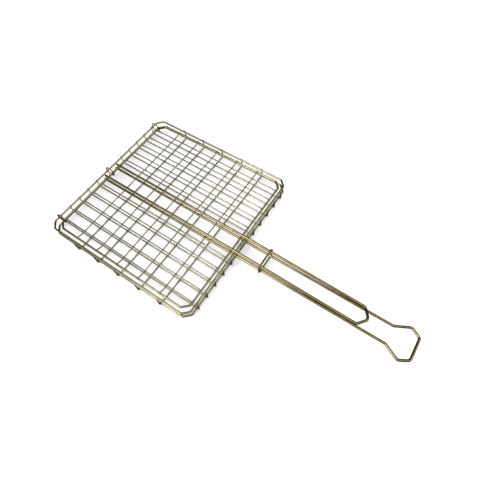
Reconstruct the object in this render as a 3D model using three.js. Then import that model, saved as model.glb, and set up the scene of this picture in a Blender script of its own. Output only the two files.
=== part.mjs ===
// Hinged wire grill basket: a shallow base tray and a flat lid, each a welded wire grid with a long
// looped wire handle, joined along one edge by three wire rings and held shut by a sliding ring.
// Millimetres, +Z up, +X along the handles. The tray rests on z = 0.
import * as THREE from 'three';

// Wire diameters.
const GRID_D = 2.2;
const FRAME_D = 3.6;
const HANDLE_D = 4.4;
const LOCK_D = 3.0;
const HINGE_D = 2.4;
const WELD_GAP = 0.3; // bare gap left where two wires are welded

// Sides of the wire cross-sections; a flat faces up and a flat faces down.
const GRID_SIDES = 8;
const FRAME_SIDES = 12;

// Base tray: two rings of the same outline, one above the other.
const TRAY_SIZE = 302;       // between wire centres, both ways
const TRAY_CHAMFER = 11;
const RING_RISE = 15.5;      // lower ring to rim
const CORNER_R = 6;
const UPTURN_R = 3.2;        // bend at the foot of each upturned wire end

// Lid frame, set inside the rim and level with it.
const LID_GAP_HINGE = 11.3;  // rim wire to lid wire, also the hinge pitch
const LID_GAP_FRONT = 6.7;
const LID_GAP_SIDE = 8;
const LID_CHAMFER = 11;
const LID_CRANK = 9;         // length of the step that takes a grid wire over or under the frame
const LID_END = 1.4;         // grid wire past the centre of the frame

// Grid layout.
const LONG_FIRST = 34;       // first long wire, from the centre line
const LONG_PITCH = 23;
const LONG_PER_SIDE = 5;
const CROSS_PITCH = 46;
const CROSS_COUNT = 5;
const LID_CROSS_SHIFT = 0.8;  // the lid's cross wires sit this much nearer the handle
const TRAY_CROSS_SHIFT = 3.6; // and the tray's this much

// Handles, measured from the centre of the tray.
const HANDLE_Y = -3;         // the handles' centre line, welded a little off the tray's
const LEG_Y = 15.7;          // handle legs, each side of the handles' centre line
const LID_LEG_START = -143.2;
const LID_BEND_X = 158;      // lid legs run level to here, then slope down
const LID_TIP_DROP = 5.8;
const LID_SHOULDER_X = 370;
const LID_TIP_X = 382.5;
const BASE_LEG_START = -152;
const NECK_X = 419;
const FLARE_X = 443;
const FLARE_Y = 28.4;
const LOOP_END_X = 458.5;
const LOOP_END_Y = 19;

// Locking ring round all four legs.
const LOCK_X = 201;
const LOCK_SLACK = 0.7;
const LOCK_R = 6;

// Hinge rings.
const HINGE_RING_Y = [-129.8, -5, 129.8];
const HINGE_CLEARANCE = 0.4;

// Heights, from the ground up.
const TRAY_CROSS_Z = GRID_D / 2;
const TRAY_LONG_Z = TRAY_CROSS_Z + GRID_D + WELD_GAP;
const LOWER_RING_Z = TRAY_LONG_Z + GRID_D / 2 + WELD_GAP + FRAME_D / 2;
const RIM_Z = LOWER_RING_Z + RING_RISE;
const LID_LEG_Z = RIM_Z + FRAME_D / 2 + WELD_GAP + HANDLE_D / 2;
const BASE_LEG_Z = LOWER_RING_Z + FRAME_D / 2 + WELD_GAP + HANDLE_D / 2;
const LID_CROSS_Z = LID_LEG_Z - HANDLE_D / 2 - WELD_GAP - GRID_D / 2;
const LID_LONG_Z = LID_CROSS_Z - GRID_D - WELD_GAP;
const FRAME_STEP = (FRAME_D + GRID_D) / 2 + WELD_GAP;
const HALF = TRAY_SIZE / 2;

// A path that is sampled exactly at its own points, so straight runs cost one step.
class WirePath extends THREE.Curve {
  constructor(points) {
    super();
    this.points = points;
  }

  index(u) {
    return Math.round(u * (this.points.length - 1));
  }

  getPoint(t, target = new THREE.Vector3()) {
    return target.copy(this.points[this.index(t)]);
  }

  getPointAt(u, target) {
    return this.getPoint(u, target);
  }

  getTangent(t, target = new THREE.Vector3()) {
    const i = this.index(t);
    const here = this.points[i];
    const before = this.points[Math.max(i - 1, 0)];
    const after = this.points[Math.min(i + 1, this.points.length - 1)];
    target.set(0, 0, 0);
    if (before !== here) target.add(here.clone().sub(before).normalize());
    if (after !== here) target.add(after.clone().sub(here).normalize());
    return target.normalize();
  }

  getTangentAt(u, target) {
    return this.getTangent(u, target);
  }
}

// Replaces each inner corner of a polyline by an arc of the given radius.
function fillet(corners, radius, stepAngle = Math.PI / 12) {
  const out = [corners[0].clone()];
  for (let i = 1; i < corners.length - 1; i += 1) {
    const corner = corners[i];
    const inward = corners[i - 1].clone().sub(corner).normalize();
    const onward = corners[i + 1].clone().sub(corner).normalize();
    const turn = Math.PI - inward.angleTo(onward);
    const reach = radius * Math.tan(turn / 2);
    const centre = inward.clone().add(onward).normalize()
      .multiplyScalar(radius / Math.cos(turn / 2)).add(corner);
    const start = inward.clone().multiplyScalar(reach).add(corner).sub(centre);
    const axis = inward.clone().cross(start).normalize();
    const steps = Math.max(2, Math.round(turn / stepAngle));
    for (let k = 0; k <= steps; k += 1) {
      out.push(start.clone().applyAxisAngle(axis, (turn * k) / steps).add(centre));
    }
  }
  out.push(corners[corners.length - 1].clone());
  return out;
}

// Regular polygon whose distance across flats is the wire diameter.
function wireSection(diameter, sides) {
  const radius = diameter / 2 / Math.cos(Math.PI / sides);
  const corners = [];
  for (let k = 0; k < sides; k += 1) {
    const angle = ((k + 0.5) / sides) * 2 * Math.PI;
    corners.push(new THREE.Vector2(radius * Math.cos(angle), radius * Math.sin(angle)));
  }
  return new THREE.Shape(corners);
}

function wireGeometry(points, diameter, sides) {
  return new THREE.ExtrudeGeometry(wireSection(diameter, sides), {
    steps: points.length - 1,
    extrudePath: new WirePath(points),
    bevelEnabled: false,
  });
}

const vec = (x, y, z) => new THREE.Vector3(x, y, z);
const ontoHandle = (point) => vec(point.x, point.y + HANDLE_Y, point.z);

// One wire bent into a chamfered rectangle; its two ends meet at the middle of the +X side.
function frameRing(xMin, xMax, halfY, chamfer, z) {
  const corners = [
    vec(xMax, WELD_GAP / 2, z),
    vec(xMax, halfY - chamfer, z),
    vec(xMax - chamfer, halfY, z),
    vec(xMin + chamfer, halfY, z),
    vec(xMin, halfY - chamfer, z),
    vec(xMin, -halfY + chamfer, z),
    vec(xMin + chamfer, -halfY, z),
    vec(xMax - chamfer, -halfY, z),
    vec(xMax, -halfY + chamfer, z),
    vec(xMax, -WELD_GAP / 2, z),
  ];
  return wireGeometry(fillet(corners, CORNER_R), FRAME_D, FRAME_SIDES);
}

// A tray wire: a straight run with both ends turned up against the outside of the two rings.
function trayWire(place, z) {
  const end = HALF + FRAME_STEP;
  const corners = [
    place(-end, RIM_Z),
    place(-end, z),
    place(end, z),
    place(end, RIM_Z),
  ];
  return wireGeometry(fillet(corners, UPTURN_R, Math.PI / 8), GRID_D, GRID_SIDES);
}

// A lid wire: a straight run whose ends step over or under the frame.
function lidWire(place, from, to, z, endZ) {
  const corners = [
    place(from - LID_END, endZ),
    place(from + LID_END, endZ),
    place(from + LID_CRANK, z),
    place(to - LID_CRANK, z),
    place(to - LID_END, endZ),
    place(to + LID_END, endZ),
  ];
  return wireGeometry(corners, GRID_D, GRID_SIDES);
}

// Mirrors one half of a handle outline, given tip first, into the whole bent wire.
function handleWire(half, radius) {
  const far = half.slice().reverse();
  const near = half.map((p) => vec(p.x, -p.y, p.z));
  if (half[0].y === 0) near.shift();
  return wireGeometry(fillet([...far, ...near].map(ontoHandle), radius), HANDLE_D, FRAME_SIDES);
}

// Open ring in the X-Z plane that links the rim wire to the lid's hinge wire.
function hingeRing(y) {
  const wireOuter = FRAME_D / 2 / Math.cos(Math.PI / FRAME_SIDES);
  const inner = LID_GAP_HINGE / 2 + wireOuter + HINGE_CLEARANCE;
  const radius = inner + HINGE_D / 2;
  const opening = 2 * Math.asin(WELD_GAP / radius);
  const segments = 24;
  const points = [];
  for (let k = 0; k <= segments; k += 1) {
    const angle = -Math.PI / 2 + opening / 2 + ((2 * Math.PI - opening) * k) / segments;
    points.push(vec(
      -HALF + LID_GAP_HINGE / 2 + radius * Math.cos(angle),
      y,
      RIM_Z + radius * Math.sin(angle),
    ));
  }
  return wireGeometry(points, HINGE_D, GRID_SIDES);
}

// Height of the lid handle's legs at a given distance along the handle.
function lidLegZ(x) {
  const run = Math.max(0, (x - LID_BEND_X) / (LID_TIP_X - LID_BEND_X));
  return LID_LEG_Z - LID_TIP_DROP * run;
}

// Flat wire loop round the four legs, its ends meeting in the bottom bar.
function lockRing() {
  const legOuter = HANDLE_D / 2 / Math.cos(Math.PI / FRAME_SIDES);
  const barSpace = legOuter + LOCK_SLACK + LOCK_D / 2;
  const y = LEG_Y + barSpace;
  const top = lidLegZ(LOCK_X) + barSpace;
  const bottom = BASE_LEG_Z - barSpace;
  const cut = -6;
  const corners = [
    vec(LOCK_X, cut + WELD_GAP, bottom),
    vec(LOCK_X, y, bottom),
    vec(LOCK_X, y, top),
    vec(LOCK_X, -y, top),
    vec(LOCK_X, -y, bottom),
    vec(LOCK_X, cut - WELD_GAP, bottom),
  ];
  return wireGeometry(fillet(corners.map(ontoHandle), LOCK_R), LOCK_D, GRID_SIDES);
}

const group = new THREE.Group();
group.name = 'grill_basket';

const colours = {
  base: 0xb9b48a,
  lid: 0xd2cba0,
  handle: 0xa39a5e,
  ring: 0xc9b25a,
};

function add(name, geometry, colour) {
  const material = new THREE.MeshStandardMaterial({ color: colour, metalness: 0.9, roughness: 0.35 });
  const mesh = new THREE.Mesh(geometry, material);
  mesh.name = name;
  group.add(mesh);
}

// Distances of the long wires from the centre line, near side first.
const longPlaces = [];
for (let k = 0; k < LONG_PER_SIDE; k += 1) {
  const y = LONG_FIRST + k * LONG_PITCH;
  longPlaces.push(y, -y);
}
longPlaces.sort((a, b) => a - b);

const crossPlaces = [];
for (let k = 0; k < CROSS_COUNT; k += 1) {
  crossPlaces.push((k - (CROSS_COUNT - 1) / 2) * CROSS_PITCH);
}

// Base tray.
add('base_rim', frameRing(-HALF, HALF, HALF, TRAY_CHAMFER, RIM_Z), colours.base);
add('base_lower_ring', frameRing(-HALF, HALF, HALF, TRAY_CHAMFER, LOWER_RING_Z), colours.base);
longPlaces.forEach((y, k) => {
  const geometry = trayWire((x, z) => vec(x, y, z), TRAY_LONG_Z);
  add(`base_long_wire_${k + 1}`, geometry, colours.base);
});
crossPlaces.forEach((x, k) => {
  const geometry = trayWire((y, z) => vec(x + TRAY_CROSS_SHIFT, y, z), TRAY_CROSS_Z);
  add(`base_cross_wire_${k + 1}`, geometry, colours.base);
});
add('base_handle', handleWire([
  vec(LOOP_END_X, LOOP_END_Y, BASE_LEG_Z),
  vec(FLARE_X, FLARE_Y, BASE_LEG_Z),
  vec(NECK_X, LEG_Y, BASE_LEG_Z),
  vec(BASE_LEG_START, LEG_Y, BASE_LEG_Z),
], CORNER_R), colours.handle);

// Lid.
const lidMinX = -HALF + LID_GAP_HINGE;
const lidMaxX = HALF - LID_GAP_FRONT;
const lidHalfY = HALF - LID_GAP_SIDE;
add('lid_frame', frameRing(lidMinX, lidMaxX, lidHalfY, LID_CHAMFER, RIM_Z), colours.lid);
longPlaces.forEach((y, k) => {
  const geometry = lidWire((x, z) => vec(x, y, z), lidMinX, lidMaxX, LID_LONG_Z, RIM_Z - FRAME_STEP);
  add(`lid_long_wire_${k + 1}`, geometry, colours.lid);
});
crossPlaces.forEach((x, k) => {
  const place = (y, z) => vec(x + LID_CROSS_SHIFT, y, z);
  const geometry = lidWire(place, -lidHalfY, lidHalfY, LID_CROSS_Z, RIM_Z + FRAME_STEP);
  add(`lid_cross_wire_${k + 1}`, geometry, colours.lid);
});
add('lid_handle', handleWire([
  vec(LID_TIP_X, 0, lidLegZ(LID_TIP_X)),
  vec(LID_SHOULDER_X, LEG_Y, lidLegZ(LID_SHOULDER_X)),
  vec(LID_BEND_X, LEG_Y, LID_LEG_Z),
  vec(LID_LEG_START, LEG_Y, LID_LEG_Z),
], CORNER_R), colours.handle);

// Rings that move.
HINGE_RING_Y.forEach((y, k) => add(`hinge_ring_${k + 1}`, hingeRing(y), colours.ring));
add('lock_ring', lockRing(), colours.ring);

// The origin goes to the middle of the footprint.
const middle = new THREE.Box3().setFromObject(group).getCenter(new THREE.Vector3());
group.children.forEach((mesh) => mesh.geometry.translate(-middle.x, -middle.y, 0));

export default group;
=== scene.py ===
"""Looks of a hinged wire grill basket: round drawn wire, thinly gold plated, spot welded at crossings.

Every wire stands for the CAD node of the same name and takes its place from that node's box.
"""
import math

import bmesh
import bpy
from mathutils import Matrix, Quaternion, Vector, noise
from mathutils.kdtree import KDTree


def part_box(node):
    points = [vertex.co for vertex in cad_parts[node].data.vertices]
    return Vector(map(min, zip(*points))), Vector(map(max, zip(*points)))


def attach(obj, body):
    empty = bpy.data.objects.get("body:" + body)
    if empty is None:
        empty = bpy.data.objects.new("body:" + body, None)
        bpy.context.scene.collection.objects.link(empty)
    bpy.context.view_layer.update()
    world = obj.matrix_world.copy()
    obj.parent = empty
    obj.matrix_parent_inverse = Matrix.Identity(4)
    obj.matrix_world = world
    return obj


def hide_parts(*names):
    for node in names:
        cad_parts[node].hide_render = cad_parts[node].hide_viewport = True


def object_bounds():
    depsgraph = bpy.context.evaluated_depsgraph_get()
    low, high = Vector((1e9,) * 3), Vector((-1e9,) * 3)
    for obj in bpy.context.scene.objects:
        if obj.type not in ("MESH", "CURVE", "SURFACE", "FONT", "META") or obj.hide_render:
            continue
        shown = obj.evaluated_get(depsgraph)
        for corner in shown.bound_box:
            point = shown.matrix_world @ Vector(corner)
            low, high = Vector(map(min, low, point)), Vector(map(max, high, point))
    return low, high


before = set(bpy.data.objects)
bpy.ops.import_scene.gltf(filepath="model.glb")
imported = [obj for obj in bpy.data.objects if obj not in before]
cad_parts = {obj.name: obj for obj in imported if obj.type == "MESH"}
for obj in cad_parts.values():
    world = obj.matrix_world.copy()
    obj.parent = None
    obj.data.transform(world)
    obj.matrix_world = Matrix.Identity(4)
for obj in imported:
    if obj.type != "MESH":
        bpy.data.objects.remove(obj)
cad_low, cad_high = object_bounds()

MM = 0.001

# Wire radii.
GRID_R = 1.1 * MM
FRAME_R = 1.8 * MM
HANDLE_R = 2.2 * MM
LOCK_R = 1.5 * MM
HINGE_R = 1.2 * MM

# Bends, measured on the wire's centre line.
FRAME_CHAMFER = 11 * MM
FRAME_BEND_R = 6 * MM
UPTURN_BEND_R = 3.2 * MM
HANDLE_BEND_R = 6 * MM
LOCK_BEND_R = 6 * MM
LID_CRANK = 9 * MM          # from the frame's centre to where a lid wire runs straight
LID_END = 1.4 * MM          # lid wire past the frame's centre

# Handle shape along X, measured from the rim's middle.
LID_BEND_X = 158 * MM
LID_TIP_X = 382.5 * MM
LID_TIP_DROP = 5.8 * MM
LID_SHOULDER_BACK = 12.5 * MM   # shoulder to tip
NECK_BACK = 39.5 * MM           # neck, flare and loop corners back from the loop's end
FLARE_BACK = 15.5 * MM
LEG_Y = 15.7 * MM
LOOP_END_Y = 19 * MM
FLARE_CORNER_Y = 28.4 * MM         # before the bend eases it

# Where wire ends meet.
LOCK_CUT_Y = -6 * MM        # in the locking ring, from the handles' centre line
LOCK_CUT_GAP = 0.3 * MM
HINGE_CUT_GAP = 0.3 * MM
JOINT_GAP = 0.03 * MM       # in a frame, filled by its weld

# Weld beads: half widths across and along the wire, and half height.
CROSSING_BEAD = (1.02 * MM, 1.02 * MM, 0.62 * MM)
UPTURN_BEAD = (0.85 * MM, 1.25 * MM, 1.25 * MM)
LID_END_BEAD = (1.25 * MM, 1.25 * MM, 0.8 * MM)
LEG_BEAD = (1.9 * MM, 2.2 * MM, 1.0 * MM)
LEG_CROSSING_BEAD = (1.35 * MM, 1.8 * MM, 0.9 * MM)
TINT_SHADE_REACH = 3.4 * MM       # how far from a weld the plating is darkened: heat tint, plus painted shade where wires meet

SPAN_STEP = 6 * MM          # spacing of the rings along a straight run
BEND_STEP = math.pi / 20
GRID_SWAY = 0.28 * MM       # how far a thin wire wanders sideways off straight
FRAME_SWAY = 0.22 * MM
HANDLE_SWAY = 0.30 * MM


def node_box(name):
    low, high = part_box(name)
    return low, high, (low + high) / 2


_, _, rim_mid = node_box("base_rim")
low_ring_low, low_ring_high, low_ring_mid = node_box("base_lower_ring")
lid_low, lid_high, _ = node_box("lid_frame")
RIM_Z = rim_mid.z
LOW_RING_Z = low_ring_mid.z
TRAY_X = rim_mid.x


# ---------------------------------------------------------------- paths

def fillet(corners, radius):
    """The polyline with each inner corner replaced by an arc."""
    out = [corners[0].copy()]
    for before, corner, after in zip(corners, corners[1:], corners[2:]):
        inward = (before - corner).normalized()
        onward = (after - corner).normalized()
        turn = math.pi - inward.angle(onward)
        if turn < 1e-4:
            continue
        reach = radius * math.tan(turn / 2)
        centre = corner + (inward + onward).normalized() * (radius / math.cos(turn / 2))
        start = corner + inward * reach - centre
        axis = inward.cross(start).normalized()
        steps = max(3, round(turn / BEND_STEP))
        for k in range(steps + 1):
            out.append(Quaternion(axis, turn * k / steps) @ start + centre)
    out.append(corners[-1].copy())
    return out


def spaced(points, step=SPAN_STEP):
    """The same path with extra points along its long straight runs."""
    out = [points[0].copy()]
    for a, b in zip(points, points[1:]):
        pieces = max(1, math.ceil((b - a).length / step - 0.25))
        for k in range(1, pieces + 1):
            out.append(a.lerp(b, k / pieces))
    return out


def sway(point, axis, seed, amount):
    """A slow sideways wander, the same for everything at one place on one wire."""
    along = point[axis]
    return amount * noise.noise(Vector((along * 14 + seed * 3.7, seed * 1.9, 0.4)))


# ---------------------------------------------------------------- wire meshes

def ring_frames(points):
    """Tangent and two cross directions at each point, carried along without twist."""
    tangents = []
    for i, here in enumerate(points):
        ahead = points[min(i + 1, len(points) - 1)] - here
        behind = here - points[max(i - 1, 0)]
        total = Vector((0, 0, 0))
        if ahead.length > 0:
            total += ahead.normalized()
        if behind.length > 0:
            total += behind.normalized()
        tangents.append(total.normalized())
    side = tangents[0].cross(Vector((0.31, 0.17, 0.93))).normalized()
    frames = []
    for tangent in tangents:
        side = (side - tangent * side.dot(tangent)).normalized()
        frames.append((tangent, side, tangent.cross(side)))
    return frames


def wire_mesh(name, points, radius, sides, swell=None):
    """A round wire along the points with cut, slightly eased ends. swell(s, length) scales the radius."""
    frames = ring_frames(points)
    travelled = [0.0]
    for a, b in zip(points, points[1:]):
        travelled.append(travelled[-1] + (b - a).length)
    total = travelled[-1]
    rings = []
    ease = radius * 0.22
    # (position, frame, radius factor, distance along)
    first_t, last_t = frames[0][0], frames[-1][0]
    rings.append((points[0].copy(), frames[0], 0.42, 0.0))
    rings.append((points[0].copy(), frames[0], 0.80, 0.0))
    rings.append((points[0] + first_t * ease * 0.35, frames[0], 0.95, 0.0))
    rings.append((points[0] + first_t * ease, frames[0], 1.0, ease))
    for p, f, s in zip(points[1:-1], frames[1:-1], travelled[1:-1]):
        if ease * 1.5 < s < total - ease * 1.5:
            rings.append((p.copy(), f, 1.0, s))
    rings.append((points[-1] - last_t * ease, frames[-1], 1.0, total - ease))
    rings.append((points[-1] - last_t * ease * 0.35, frames[-1], 0.95, total))
    rings.append((points[-1].copy(), frames[-1], 0.80, total))
    rings.append((points[-1].copy(), frames[-1], 0.42, total))

    bm = bmesh.new()
    run = bm.verts.layers.float_vector.new("wire_run")
    loops = []
    for place, (_, side, up), factor, s in rings:
        size = radius * factor
        if swell is not None:
            size *= swell(s, total)
        loop = []
        for k in range(sides):
            angle = 2 * math.pi * k / sides
            out = side * math.cos(angle) + up * math.sin(angle)
            v = bm.verts.new(place + out * size)
            v[run] = Vector((s, math.cos(angle), math.sin(angle)))
            loop.append(v)
        loops.append(loop)
    for a, b in zip(loops, loops[1:]):
        for k in range(sides):
            n = (k + 1) % sides
            bm.faces.new((a[k], a[n], b[n], b[k]))
    bm.faces.new(list(reversed(loops[0])))
    bm.faces.new(loops[-1])
    bmesh.ops.recalc_face_normals(bm, faces=bm.faces)
    mesh = bpy.data.meshes.new(name)
    bm.to_mesh(mesh)
    bm.free()
    for polygon in mesh.polygons:
        polygon.use_smooth = True
    return mesh


# Places where the plating is darkened around welds, by body: heat tint, plus painted contact shade where
# crossing wires meet.
tint_shade_spots = {"base": [], "lid": [], "hinge_rings": [], "lock": []}
wires = []


def add_wire(node, body, slot, points, radius, sides, swell=None):
    mesh = wire_mesh("wire_" + node, points, radius, sides, swell)
    piece = bpy.data.objects.new("wire_" + node, mesh)
    bpy.context.scene.collection.objects.link(piece)
    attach(piece, body)
    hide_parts(node)
    wires.append((piece, body, slot))
    return piece


# ---------------------------------------------------------------- welds

def nugget(bm, centre, across, along, height, seed, rows=7, columns=12):
    """A small lumpy bead of weld metal squeezed out between two crossing wires."""
    run = bm.verts.layers.float_vector["wire_run"]
    loops = []
    for r in range(1, rows):
        polar = math.pi * r / rows
        loop = []
        for c in range(columns):
            angle = 2 * math.pi * c / columns
            direction = Vector((
                math.sin(polar) * math.cos(angle),
                math.sin(polar) * math.sin(angle),
                math.cos(polar),
            ))
            lump = 1 + 0.16 * noise.noise(direction * 1.7 + Vector((seed * 2.3, seed * 0.7, 1.1)))
            shape = Vector((direction.x * across, direction.y * along, direction.z * height)) * lump
            v = bm.verts.new(centre + shape)
            v[run] = Vector((seed, direction.x, direction.y))
            loop.append(v)
        loops.append(loop)
    top = bm.verts.new(centre + Vector((0, 0, height)))
    bottom = bm.verts.new(centre - Vector((0, 0, height)))
    for a, b in zip(loops, loops[1:]):
        for c in range(columns):
            n = (c + 1) % columns
            bm.faces.new((a[c], b[c], b[n], a[n]))
    for c in range(columns):
        n = (c + 1) % columns
        bm.faces.new((top, loops[0][c], loops[0][n]))
        bm.faces.new((bottom, loops[-1][n], loops[-1][c]))


class Welds:
    """All the weld beads of one body, as one piece."""

    def __init__(self, name, body, slot):
        self.name, self.body, self.slot = name, body, slot
        self.bm = bmesh.new()
        self.bm.verts.layers.float_vector.new("wire_run")
        self.count = 0

    def add(self, centre, across, along, height):
        self.count += 1
        vary = 1 + 0.14 * noise.noise(Vector((self.count * 0.73, 2.2, 5.1)))
        nugget(self.bm, centre, across * vary, along * vary, height, self.count)
        # the weld's centre darkens the plating around it: heat tint plus painted contact shade
        tint_shade_spots[self.body].append(centre.copy())

    def finish(self):
        mesh = bpy.data.meshes.new(self.name)
        bmesh.ops.recalc_face_normals(self.bm, faces=self.bm.faces)
        self.bm.to_mesh(mesh)
        self.bm.free()
        for polygon in mesh.polygons:
            polygon.use_smooth = True
        piece = bpy.data.objects.new(self.name, mesh)
        bpy.context.scene.collection.objects.link(piece)
        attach(piece, self.body)
        wires.append((piece, self.body, "weld"))
        return piece


base_welds = Welds("welds_base", "base", "grid_wire")
lid_welds = Welds("welds_lid", "lid", "grid_wire")


# ---------------------------------------------------------------- frames

def joint_bead(s, total):
    """Extra thickness at a frame's two ends, where they are butt welded to each other."""
    from_end = min(s, total - s) / (2.2 * MM)
    return 1 + 0.13 * math.exp(-from_end * from_end)


def frame_points(node, seed):
    low, high, mid = node_box(node)
    x0, x1 = low.x + FRAME_R, high.x - FRAME_R
    half = high.y - FRAME_R
    c, z = FRAME_CHAMFER, mid.z
    corners = [Vector(p) for p in (
        (x1, JOINT_GAP, z), (x1, half - c, z), (x1 - c, half, z), (x0 + c, half, z),
        (x0, half - c, z), (x0, -half + c, z), (x0 + c, -half, z), (x1 - c, -half, z),
        (x1, -half + c, z), (x1, -JOINT_GAP, z))]
    points = spaced(fillet(corners, FRAME_BEND_R))
    for p in points:
        from_y_sides = abs(abs(p.y) - half) / (30 * MM)
        from_x_sides = abs(p.x - x0) / (30 * MM) + abs(p.x - x1) / (30 * MM)
        fade = min(1, from_y_sides, from_x_sides)
        near_x_side = abs(p.x - mid.x) > abs(p.y)
        if near_x_side:
            p.x -= abs(sway(p, 1, seed, FRAME_SWAY)) * fade * math.copysign(1, p.x - mid.x)
        else:
            p.y -= abs(sway(p, 0, seed + 5, FRAME_SWAY)) * math.copysign(1, p.y)
    return points


for node, body, seed in (("base_rim", "base", 1), ("base_lower_ring", "base", 2), ("lid_frame", "lid", 3)):
    points = frame_points(node, seed)
    add_wire(node, body, "frame_wire", points, FRAME_R, 24, joint_bead)
    tint_shade_spots[body].append(points[0].copy())


# ---------------------------------------------------------------- grids

def grid_nodes(prefix):
    return [f"{prefix}_{k + 1}" for k in range(sum(n.startswith(prefix + "_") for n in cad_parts))]


def grid_wire_points(node, run_axis, corners, seed):
    """The wire's path with its straight part swaying a little sideways."""
    side_axis = 1 - run_axis
    low, high, mid = node_box(node)
    for p in corners:
        along = p[run_axis] - mid[run_axis]
        fade = max(0.0, min(1.0, ((high[run_axis] - low[run_axis]) / 2 - abs(along)) / (12 * MM)))
        p[side_axis] += sway(p, run_axis, seed, GRID_SWAY) * fade
    return corners


def tray_wire(node, run_axis, seed):
    low, high, mid = node_box(node)
    side = mid[1 - run_axis]
    ends = (low[run_axis] + GRID_R, high[run_axis] - GRID_R)
    z = low.z + GRID_R

    def at(along, height):
        p = Vector((0, 0, height))
        p[run_axis], p[1 - run_axis] = along, side
        return p

    corners = [at(ends[0], RIM_Z), at(ends[0], z), at(ends[1], z), at(ends[1], RIM_Z)]
    points = grid_wire_points(node, run_axis, spaced(fillet(corners, UPTURN_BEND_R)), seed)
    add_wire(node, "base", "grid_wire", points, GRID_R, 18)
    # welded to the outside of both rings at each end
    for end, sign in ((ends[0], -1), (ends[1], 1)):
        for ring_z in (LOW_RING_Z, RIM_Z - 0.3 * MM):
            p = at(end - sign * (GRID_R + 0.12 * MM), ring_z)
            across, along, height = UPTURN_BEAD
            if run_axis == 1:
                across, along = along, across
            base_welds.add(p, across, along, height)
    return side, z


def lid_wire(node, run_axis, seed):
    low, high, mid = node_box(node)
    side = mid[1 - run_axis]
    over = run_axis == 1                      # cross wires lie above the frame, long wires below it
    straight_z = low.z + GRID_R if over else high.z - GRID_R
    end_z = high.z - GRID_R if over else low.z + GRID_R
    ends = (low[run_axis], high[run_axis])

    def at(along, height):
        p = Vector((0, 0, height))
        p[run_axis], p[1 - run_axis] = along, side
        return p

    frame_at = (ends[0] + LID_END, ends[1] - LID_END)
    corners = [
        at(ends[0], end_z), at(frame_at[0] + LID_END, end_z), at(frame_at[0] + LID_CRANK, straight_z),
        at(frame_at[1] - LID_CRANK, straight_z), at(frame_at[1] - LID_END, end_z), at(ends[1], end_z)]
    points = grid_wire_points(node, run_axis, spaced(fillet(corners, 3 * MM)), seed)
    add_wire(node, "lid", "grid_wire", points, GRID_R, 18)
    for place in frame_at:
        lid_welds.add(at(place, (end_z + RIM_Z) / 2 + (-0.35 if over else 0.35) * MM), *LID_END_BEAD)
    return side, straight_z


def grid(prefix, builder, seed):
    """Builds one set of wires; returns for each where it lies, its height and its seed."""
    out = []
    for run_axis, kind in ((0, "long_wire"), (1, "cross_wire")):
        rows = []
        for node in grid_nodes(f"{prefix}_{kind}"):
            seed += 1
            side, z = builder(node, run_axis, seed)
            rows.append((side, z, seed))
        out.append(rows)
    return out


def weld_crossings(long_rows, cross_rows, welds):
    for y, z_long, long_seed in long_rows:
        for x, z_cross, cross_seed in cross_rows:
            p = Vector((x, y, (z_long + z_cross) / 2))
            p.x += sway(Vector((0, y, 0)), 1, cross_seed, GRID_SWAY)
            p.y += sway(Vector((x, 0, 0)), 0, long_seed, GRID_SWAY)
            welds.add(p, *CROSSING_BEAD)


tray_long, tray_cross = grid("base", tray_wire, 10)
lid_long, lid_cross = grid("lid", lid_wire, 40)
weld_crossings(tray_long, tray_cross, base_welds)
weld_crossings(lid_long, lid_cross, lid_welds)


# ---------------------------------------------------------------- handles

def handle_points(half, centre_y, seed):
    """Mirrors half of the outline, tip first, and lets the long legs bow a little."""
    far = [Vector(p) for p in reversed(half)]
    near = [Vector((p[0], -p[1], p[2])) for p in half]
    if half[0][1] == 0:
        near = near[1:]
    corners = [p + Vector((0, centre_y, 0)) for p in far + near]
    points = spaced(fillet(corners, HANDLE_BEND_R))
    first, last = points[0].x, max(p.x for p in points)
    for p in points:
        t = (p.x - first) / (last - first)
        side = 1 if p.y > centre_y else -1
        p.y += sway(p, 0, seed + side, HANDLE_SWAY) * min(1, max(0, (0.93 - t) * 12)) * min(1, t * 8)
    return points


base_low, base_high, base_mid = node_box("base_handle")
HANDLE_Y = base_mid.y
loop_end = base_high.x - HANDLE_R
BASE_LEG_Z = base_mid.z
base_handle = handle_points([
    (loop_end, LOOP_END_Y, BASE_LEG_Z),
    (loop_end - FLARE_BACK, FLARE_CORNER_Y, BASE_LEG_Z),
    (loop_end - NECK_BACK, LEG_Y, BASE_LEG_Z),
    (base_low.x, LEG_Y, BASE_LEG_Z),
], HANDLE_Y, 90)
add_wire("base_handle", "base", "handle_wire", base_handle, HANDLE_R, 28)

lid_handle_low, lid_handle_high, _ = node_box("lid_handle")
LID_LEG_Z = lid_handle_high.z - HANDLE_R
lid_tip = TRAY_X + LID_TIP_X


def lid_leg_z(x):
    run = max(0.0, (x - TRAY_X - LID_BEND_X) / (lid_tip - TRAY_X - LID_BEND_X))
    return LID_LEG_Z - LID_TIP_DROP * run


lid_handle = handle_points([
    (lid_tip, 0.0, lid_leg_z(lid_tip)),
    (lid_tip - LID_SHOULDER_BACK, LEG_Y, lid_leg_z(lid_tip - LID_SHOULDER_BACK)),
    (TRAY_X + LID_BEND_X, LEG_Y, LID_LEG_Z),
    (lid_handle_low.x, LEG_Y, LID_LEG_Z),
], HANDLE_Y, 95)
add_wire("lid_handle", "lid", "handle_wire", lid_handle, HANDLE_R, 28)

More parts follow.
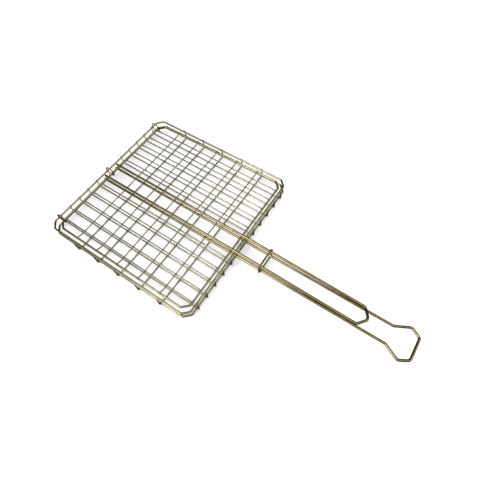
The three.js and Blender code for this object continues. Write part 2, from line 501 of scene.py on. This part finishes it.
for leg in (-1, 1):
    y = HANDLE_Y + leg * LEG_Y
    # base legs on the lower ring, both sides
    for x in (low_ring_low.x + FRAME_R, low_ring_high.x - FRAME_R):
        p = Vector((x, y, (LOW_RING_Z + FRAME_R + BASE_LEG_Z - HANDLE_R) / 2))
        base_welds.add(p, *LEG_BEAD)
    # lid legs on the cross wires and on the lid frame
    for x, z, seed in lid_cross:
        p = Vector((x + sway(Vector((0, y, 0)), 1, seed, GRID_SWAY), y, LID_LEG_Z - HANDLE_R - 0.15 * MM))
        lid_welds.add(p, *LEG_CROSSING_BEAD)
    for x in (lid_low.x + FRAME_R, lid_high.x - FRAME_R):
        p = Vector((x, y, (RIM_Z + FRAME_R + LID_LEG_Z - HANDLE_R) / 2))
        lid_welds.add(p, *LEG_BEAD)

base_welds.finish()
lid_welds.finish()


# ---------------------------------------------------------------- loose rings

def hinge_ring(node):
    low, high, mid = node_box(node)
    radius = (high.z - low.z) / 2 - HINGE_R
    opening = 2 * math.asin(HINGE_CUT_GAP / radius)
    steps = 56
    points = []
    for k in range(steps + 1):
        angle = -math.pi / 2 + opening / 2 + (2 * math.pi - opening) * k / steps
        points.append(mid + Vector((radius * math.cos(angle), 0, radius * math.sin(angle))))
    add_wire(node, "hinge_rings", "ring_wire", points, HINGE_R, 20)


for k in range(3):
    hinge_ring(f"hinge_ring_{k + 1}")

lock_low, lock_high, lock_mid = node_box("lock_ring")
lock_y = (lock_high.y - lock_low.y) / 2 - LOCK_R
lock_z0, lock_z1 = lock_low.z + LOCK_R, lock_high.z - LOCK_R
lock_corners = [Vector((lock_mid.x, lock_mid.y + y, z)) for y, z in (
    (LOCK_CUT_Y + LOCK_CUT_GAP, lock_z0), (lock_y, lock_z0), (lock_y, lock_z1),
    (-lock_y, lock_z1), (-lock_y, lock_z0), (LOCK_CUT_Y - LOCK_CUT_GAP, lock_z0))]
add_wire("lock_ring", "lock", "ring_wire", spaced(fillet(lock_corners, LOCK_BEND_R), 3 * MM), LOCK_R, 22)


# ---------------------------------------------------------------- heat tint and painted contact shade

def paint_tint_shade():
    """Stores on every vertex how close it is to a weld, from 0 to 1: the mask for heat tint and painted
    shade where wires meet.
    """
    for body, spots in tint_shade_spots.items():
        tree = None
        if spots:
            tree = KDTree(len(spots))
            for k, p in enumerate(spots):
                tree.insert(p, k)
            tree.balance()
        for piece, piece_body, _ in wires:
            if piece_body != body:
                continue
            layer = piece.data.attributes.new("weld_tint_shade", "FLOAT", "POINT")
            values = []
            for v in piece.data.vertices:
                distance = tree.find(v.co)[2] if tree else 1.0
                values.append(math.exp(-((distance / TINT_SHADE_REACH) ** 2)))
            layer.data.foreach_set("value", values)


paint_tint_shade()


# ---------------------------------------------------------------- materials

def plated_wire(name, pale, mid, deep, tint_shade_colour, rough_low, rough_high, line_bump):
    """Drawn steel wire under a thin gold plating: streaks along the wire, patches of deeper colour,
    welds darkened by heat tint and by painted contact shade, and fine die lines and dents in the bump."""
    material = bpy.data.materials.new(name)
    material.use_nodes = True
    tree = material.node_tree
    nodes, links = tree.nodes, tree.links
    nodes.clear()
    out = nodes.new("ShaderNodeOutputMaterial")
    shader = nodes.new("ShaderNodeBsdfPrincipled")
    links.new(shader.outputs["BSDF"], out.inputs["Surface"])
    shader.inputs["Metallic"].default_value = 1.0
    shader.inputs["Specular IOR Level"].default_value = 0.5

    run = nodes.new("ShaderNodeAttribute")
    run.attribute_name = "wire_run"
    tint_shade_attr = nodes.new("ShaderNodeAttribute")
    tint_shade_attr.attribute_name = "weld_tint_shade"
    place = nodes.new("ShaderNodeTexCoord")

    def scaled(source, scale):
        node = nodes.new("ShaderNodeMapping")
        node.inputs["Scale"].default_value = scale
        links.new(source, node.inputs["Vector"])
        return node.outputs["Vector"]

    def noise_node(vector, scale, detail, roughness=0.55):
        node = nodes.new("ShaderNodeTexNoise")
        node.inputs["Scale"].default_value = scale
        node.inputs["Detail"].default_value = detail
        node.inputs["Roughness"].default_value = roughness
        links.new(vector, node.inputs["Vector"])
        return node.outputs["Fac"]

    def remap(value, low, high, to_low, to_high):
        node = nodes.new("ShaderNodeMapRange")
        sockets = ("From Min", "From Max", "To Min", "To Max")
        for socket, number in zip(sockets, (low, high, to_low, to_high)):
            node.inputs[socket].default_value = number
        links.new(value, node.inputs["Value"])
        return node.outputs["Result"]

    def math_node(kind, a, b):
        node = nodes.new("ShaderNodeMath")
        node.operation = kind
        for socket, value in zip(node.inputs, (a, b)):
            if isinstance(value, (int, float)):
                socket.default_value = value
            else:
                links.new(value, socket)
        return node.outputs["Value"]

    def mix(fac, a, b):
        node = nodes.new("ShaderNodeMix")
        node.data_type = "RGBA"
        links.new(fac, node.inputs[0])
        for socket, value in ((node.inputs[6], a), (node.inputs[7], b)):
            if isinstance(value, tuple):
                socket.default_value = (*value, 1)
            else:
                links.new(value, socket)
        return node.outputs[2]

    lines = noise_node(scaled(run.outputs["Vector"], (26, 3.2, 3.2)), 1.6, 4)
    fine_lines = noise_node(scaled(run.outputs["Vector"], (60, 9, 9)), 2.0, 3, 0.7)
    patches = noise_node(place.outputs["Object"], 34, 3)
    specks = noise_node(place.outputs["Object"], 620, 2, 0.7)

    ramp = nodes.new("ShaderNodeValToRGB")
    ramp.color_ramp.elements[0].position = 0.30
    ramp.color_ramp.elements[0].color = (*deep, 1)
    ramp.color_ramp.elements[1].position = 0.72
    ramp.color_ramp.elements[1].color = (*pale, 1)
    middle = ramp.color_ramp.elements.new(0.50)
    middle.color = (*mid, 1)
    blend = math_node("ADD", math_node("MULTIPLY", patches, 0.6), math_node("MULTIPLY", lines, 0.4))
    links.new(blend, ramp.inputs["Fac"])

    stained = mix(remap(specks, 0.60, 0.80, 0.0, 0.32), ramp.outputs["Color"], deep)
    # darker plating around welds: heat tint, plus painted shade where crossing wires meet
    tint_shade_edge = math_node("MULTIPLY", tint_shade_attr.outputs["Fac"], remap(patches, 0.3, 0.7, 0.6, 1.0))
    coloured = mix(remap(tint_shade_edge, 0.15, 0.95, 0.0, 0.85), stained, tint_shade_colour)
    links.new(coloured, shader.inputs["Base Color"])

    drawn_rough = remap(lines, 0.3, 0.7, rough_low, rough_high)
    rough = math_node("ADD", drawn_rough, remap(tint_shade_edge, 0.2, 1.0, 0.0, 0.22))
    links.new(rough, shader.inputs["Roughness"])

    height = math_node("ADD", math_node("MULTIPLY", fine_lines, 0.6), math_node("MULTIPLY", specks, 0.4))
    bump = nodes.new("ShaderNodeBump")
    bump.inputs["Strength"].default_value = line_bump
    bump.inputs["Distance"].default_value = 0.00012
    links.new(height, bump.inputs["Height"])
    links.new(bump.outputs["Normal"], shader.inputs["Normal"])
    return material


# each material's last colour is the heat tint and painted contact shade around welds
materials = {
    "grid_wire": plated_wire(
        "plated_grid", (0.80, 0.77, 0.55), (0.62, 0.59, 0.37), (0.34, 0.30, 0.14), (0.10, 0.075, 0.03),
        0.16, 0.28, 0.2),
    "frame_wire": plated_wire(
        "plated_frame", (0.90, 0.86, 0.62), (0.73, 0.68, 0.43), (0.38, 0.33, 0.16), (0.10, 0.07, 0.025),
        0.15, 0.26, 0.2),
    "handle_wire": plated_wire(
        "plated_handle", (0.76, 0.66, 0.37), (0.56, 0.47, 0.21), (0.27, 0.20, 0.065), (0.09, 0.06, 0.018),
        0.15, 0.26, 0.2),
    "ring_wire": plated_wire(
        "plated_ring", (0.64, 0.53, 0.27), (0.45, 0.355, 0.145), (0.22, 0.16, 0.055), (0.10, 0.06, 0.018),
        0.16, 0.28, 0.2),
    "weld": plated_wire(
        "plated_weld", (0.32, 0.27, 0.15), (0.20, 0.16, 0.08), (0.10, 0.075, 0.035), (0.08, 0.06, 0.028),
        0.42, 0.60, 0.5),
}

for piece, _, slot in wires:
    piece.data.materials.clear()
    piece.data.materials.append(materials[slot])


# ---------------------------------------------------------------- floor, light, camera

def pale_floor():
    radius, rings, columns = 2.6, 6, 48
    bm = bmesh.new()
    centre = bm.verts.new((0, 0, 0))
    previous = None
    for r in range(1, rings + 1):
        loop = []
        for c in range(columns):
            angle = 2 * math.pi * c / columns
            reach = radius * r / rings
            loop.append(bm.verts.new((reach * math.cos(angle), reach * math.sin(angle), 0)))
        for c in range(columns):
            n = (c + 1) % columns
            if previous is None:
                bm.faces.new((centre, loop[c], loop[n]))
            else:
                bm.faces.new((previous[c], loop[c], loop[n], previous[n]))
        previous = loop
    mesh = bpy.data.meshes.new("floor")
    bm.to_mesh(mesh)
    bm.free()
    floor = bpy.data.objects.new("floor", mesh)
    bpy.context.scene.collection.objects.link(floor)
    floor.location.z = cad_low.z - 0.1 * MM
    material = bpy.data.materials.new("floor_white")
    material.use_nodes = True
    shader = material.node_tree.nodes["Principled BSDF"]
    colour = unless_mirrored(material.node_tree, FLOOR_PALE, FLOOR_DARK)
    material.node_tree.links.new(colour, shader.inputs["Base Color"])
    shader.inputs["Roughness"].default_value = 0.85
    mesh.materials.append(material)


def area_light(name, place, target, size, power, colour):
    light = bpy.data.lights.new(name, "AREA")
    light.shape = "RECTANGLE"
    light.size, light.size_y = size
    light.energy = power
    light.color = colour
    lamp = bpy.data.objects.new(name, light)
    lamp.location = place
    lamp.rotation_mode = "QUATERNION"
    lamp.rotation_quaternion = (Vector(target) - Vector(place)).to_track_quat("-Z", "Y")
    bpy.context.scene.collection.objects.link(lamp)


# What polished wire mirrors: a dark room with one wide soft light towards the front right.
SOFTBOX = (0.45, 0.57, 0.72, 0.86)      # lean at which the light starts, is full, starts to fade, ends
SOFTBOX_COLOUR = (0.94, 0.91, 0.79)
ROOM_DARK = (0.030, 0.026, 0.018)
FLOOR_DARK = (0.020, 0.018, 0.013)
FLOOR_PALE = (0.93, 0.93, 0.935)
WORLD_PALE = (1.5, 1.5, 1.5)


def unless_mirrored(tree, plain, mirrored):
    """A colour that is plain to look at and to light with, and darker where polished metal mirrors it."""
    path = tree.nodes.new("ShaderNodeLightPath")
    mixer = tree.nodes.new("ShaderNodeMix")
    mixer.data_type = "RGBA"
    tree.links.new(path.outputs["Is Glossy Ray"], mixer.inputs[0])
    for socket, value in ((mixer.inputs[6], plain), (mixer.inputs[7], mirrored)):
        if isinstance(value, tuple):
            socket.default_value = (*value, 1)
        else:
            tree.links.new(value, socket)
    return mixer.outputs[2]


def studio():
    area_light("key", (-0.63, -1.17, 1.76), (0, 0, 0), (0.8, 0.8), 9, (1.0, 0.985, 0.95))
    world = bpy.data.worlds.new("studio")
    bpy.context.scene.world = world
    world.use_nodes = True
    tree = world.node_tree
    background = tree.nodes["Background"]
    direction = tree.nodes.new("ShaderNodeTexCoord")
    # how far a mirrored direction leans towards the front right, from 0 (away) to 1
    lean = tree.nodes.new("ShaderNodeVectorMath")
    lean.operation = "DOT_PRODUCT"
    lean.inputs[1].default_value = (0.354, -0.354, 0)
    tree.links.new(direction.outputs["Generated"], lean.inputs[0])
    shifted = tree.nodes.new("ShaderNodeMath")
    shifted.operation = "ADD"
    shifted.inputs[1].default_value = 0.5
    tree.links.new(lean.outputs["Value"], shifted.inputs[0])
    ramp = tree.nodes.new("ShaderNodeValToRGB")
    stops = ramp.color_ramp.elements
    stops[0].position, stops[0].color = SOFTBOX[0], (*ROOM_DARK, 1)
    stops[1].position, stops[1].color = SOFTBOX[3], (*ROOM_DARK, 1)
    for place in SOFTBOX[1:3]:
        stops.new(place).color = (*SOFTBOX_COLOUR, 1)
    tree.links.new(shifted.outputs["Value"], ramp.inputs["Fac"])
    tree.links.new(unless_mirrored(tree, WORLD_PALE, ramp.outputs["Color"]), background.inputs["Color"])
    background.inputs["Strength"].default_value = 1.0


CAMERA_PLACE = Vector((0.16827, -0.22852, 0.56533))
CAMERA_TARGET = Vector((-0.00969, 0.00832, 0.015))
CAMERA_ROLL_DEG = -3.716
CAMERA_LENS = 27.35


def camera():
    data = bpy.data.cameras.new("camera")
    data.lens = CAMERA_LENS
    data.sensor_width = 36
    data.clip_start, data.clip_end = 0.01, 50
    eye = bpy.data.objects.new("camera", data)
    eye.location = CAMERA_PLACE
    eye.rotation_mode = "QUATERNION"
    aim = (CAMERA_TARGET - CAMERA_PLACE).to_track_quat("-Z", "Y")
    eye.rotation_quaternion = aim @ Quaternion(Vector((0, 0, 1)), math.radians(CAMERA_ROLL_DEG))
    bpy.context.scene.collection.objects.link(eye)
    bpy.context.scene.camera = eye


pale_floor()
studio()
camera()
bpy.context.scene.view_settings.view_transform = "Standard"
